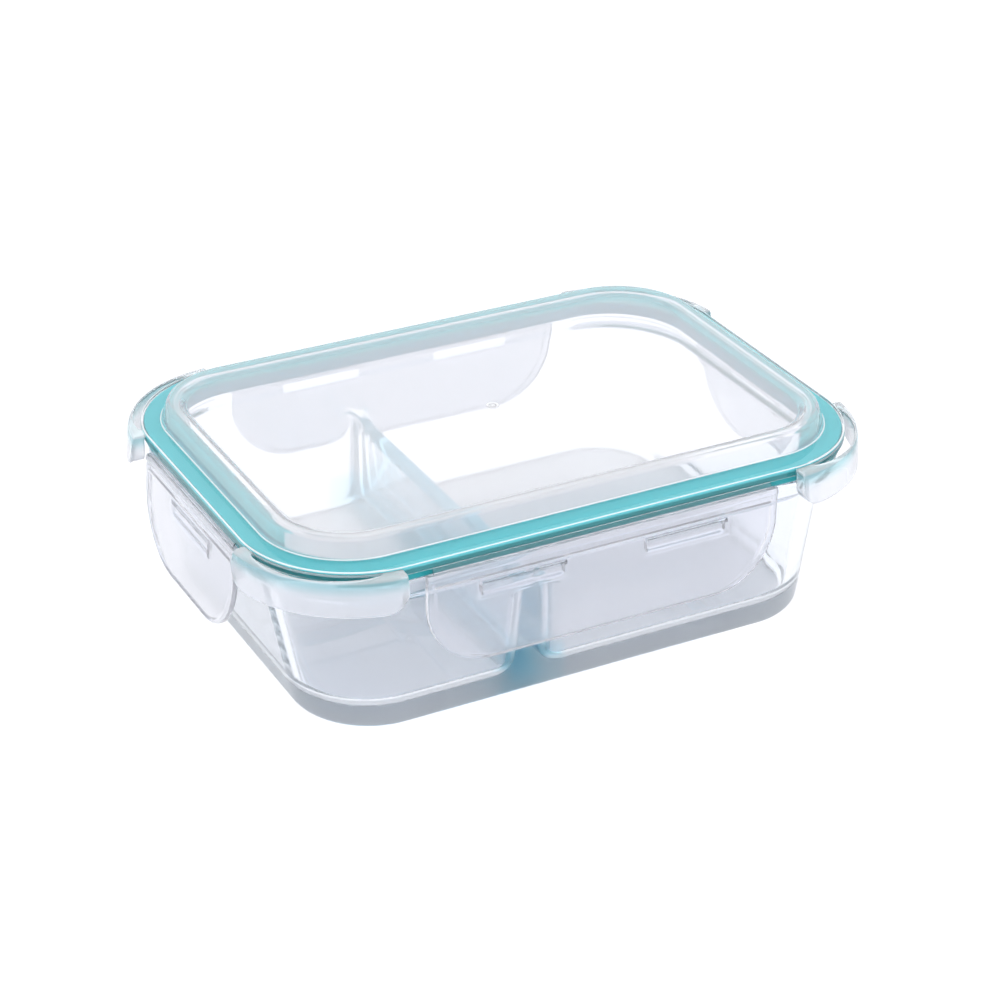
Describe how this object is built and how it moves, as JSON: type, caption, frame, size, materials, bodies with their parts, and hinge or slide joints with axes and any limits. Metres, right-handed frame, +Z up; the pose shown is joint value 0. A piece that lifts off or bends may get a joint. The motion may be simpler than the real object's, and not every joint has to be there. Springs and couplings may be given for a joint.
{
  "type": "bento lunch box",
  "caption": "Rectangular divided glass food box with a clear snap lid: raised rim ring, teal seal and hinged flaps on all sides.",
  "frame": {"origin": "centre of the underside of the glass tray, on the surface it stands on", "axes": "+X along the long side, away from the smaller compartment; +Y from front to back; +Z up"},
  "size_m": [0.2096, 0.152, 0.0645],
  "materials": {
    "clear_glass": "clear pressed glass with a faint aqua tint in thick places",
    "clear_lid_plastic": "clear moulded polypropylene, glossy",
    "frosted_flap_plastic": "milky translucent polypropylene, satin",
    "teal_silicone": "smooth translucent silicone"
  },
  "bodies": {
    "tray": {"glass_base": "clear_glass"},
    "lid": {"lid_cover": "clear_lid_plastic", "seal_gasket": "teal_silicone", "film_hinge_front": "frosted_flap_plastic", "film_hinge_right": "frosted_flap_plastic", "film_hinge_back": "frosted_flap_plastic", "film_hinge_left": "frosted_flap_plastic"},
    "front_flap": {"flap_front": "frosted_flap_plastic"},
    "right_flap": {"flap_right": "frosted_flap_plastic"},
    "back_flap": {"flap_back": "frosted_flap_plastic"},
    "left_flap": {"flap_left": "frosted_flap_plastic"}
  },
  "joints": [
    {"name": "lid_lift", "type": "slide", "parent": "tray", "child": "lid", "axis": [0, 0, 1], "range_m": [0, 0.08]},
    {"name": "front_flap_hinge", "type": "hinge", "parent": "lid", "child": "front_flap", "pos_m": [0, -0.0715, 0.0546], "axis": [-1, 0, 0], "range_deg": [0, 150]},
    {"name": "right_flap_hinge", "type": "hinge", "parent": "lid", "child": "right_flap", "pos_m": [0.1005, 0, 0.0546], "axis": [0, -1, 0], "range_deg": [0, 150]},
    {"name": "back_flap_hinge", "type": "hinge", "parent": "lid", "child": "back_flap", "pos_m": [0, 0.0715, 0.0546], "axis": [1, 0, 0], "range_deg": [0, 150]},
    {"name": "left_flap_hinge", "type": "hinge", "parent": "lid", "child": "left_flap", "pos_m": [-0.1005, 0, 0.0546], "axis": [0, 1, 0], "range_deg": [0, 150]}
  ]
}
